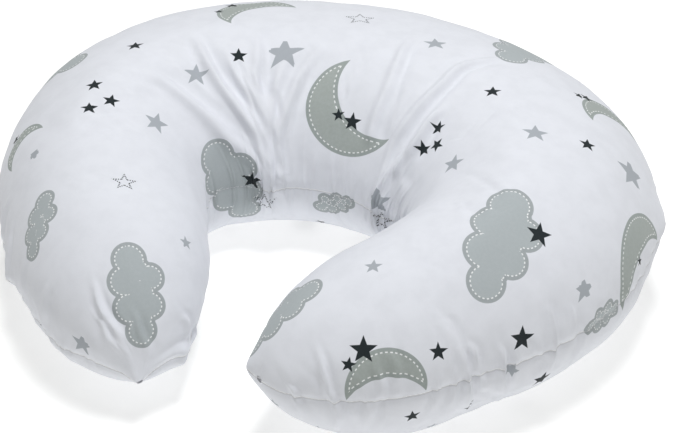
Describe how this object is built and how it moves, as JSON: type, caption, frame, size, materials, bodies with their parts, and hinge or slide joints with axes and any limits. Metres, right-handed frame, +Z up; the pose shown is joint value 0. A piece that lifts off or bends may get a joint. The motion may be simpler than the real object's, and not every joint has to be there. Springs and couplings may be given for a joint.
{
  "type": "nursing pillow",
  "caption": "C-shaped nursing pillow lying flat: a loose cotton cover of two printed panels with a zip in the back seam, over a cased fibre filling.",
  "frame": {"origin": "on the resting face, under the middle of the plan outline", "axes": "+X towards one arm, -Y towards the mouth of the C, +Z up from the resting face"},
  "size_m": [0.576, 0.5077, 0.1683],
  "materials": {
    "printed_cotton": "matt printed cotton",
    "white_thread": "matt",
    "label_satin": "satin",
    "zip_tape": "woven",
    "zip_coil": "satin",
    "zip_metal": "white lacquer",
    "case_cloth": "matt",
    "polyester_fibre": "lofty fibre"
  },
  "bodies": {
    "pillow": {"cover_top_panel": "printed_cotton", "cover_bottom_panel": "printed_cotton", "cover_seam_thread": "white_thread", "care_label": "label_satin", "zip_tape_upper": "zip_tape", "zip_tape_lower": "zip_tape", "zip_coil_upper": "zip_coil", "zip_coil_lower": "zip_coil", "zip_top_stops": "zip_metal", "zip_bottom_stop": "zip_metal", "inner_case_top_panel": "case_cloth", "inner_case_bottom_panel": "case_cloth", "inner_case_seam_thread": "white_thread", "fibre_filling": "polyester_fibre"},
    "zip_slider": {"zip_slider_body": "zip_metal"},
    "zip_pull": {"zip_pull_tab": "zip_metal"}
  },
  "joints": [
    {"name": "zip_travel", "type": "hinge", "parent": "pillow", "child": "zip_slider", "pos_m": [0, -0.0921, 0.07], "axis": [0, 0, 1], "range_deg": [0, 50.8]},
    {"name": "pull_swing", "type": "hinge", "parent": "zip_slider", "child": "zip_pull", "pos_m": [0.14931, 0.22235, 0.07], "axis": [0, 0, -1], "range_deg": [0, 172]}
  ]
}
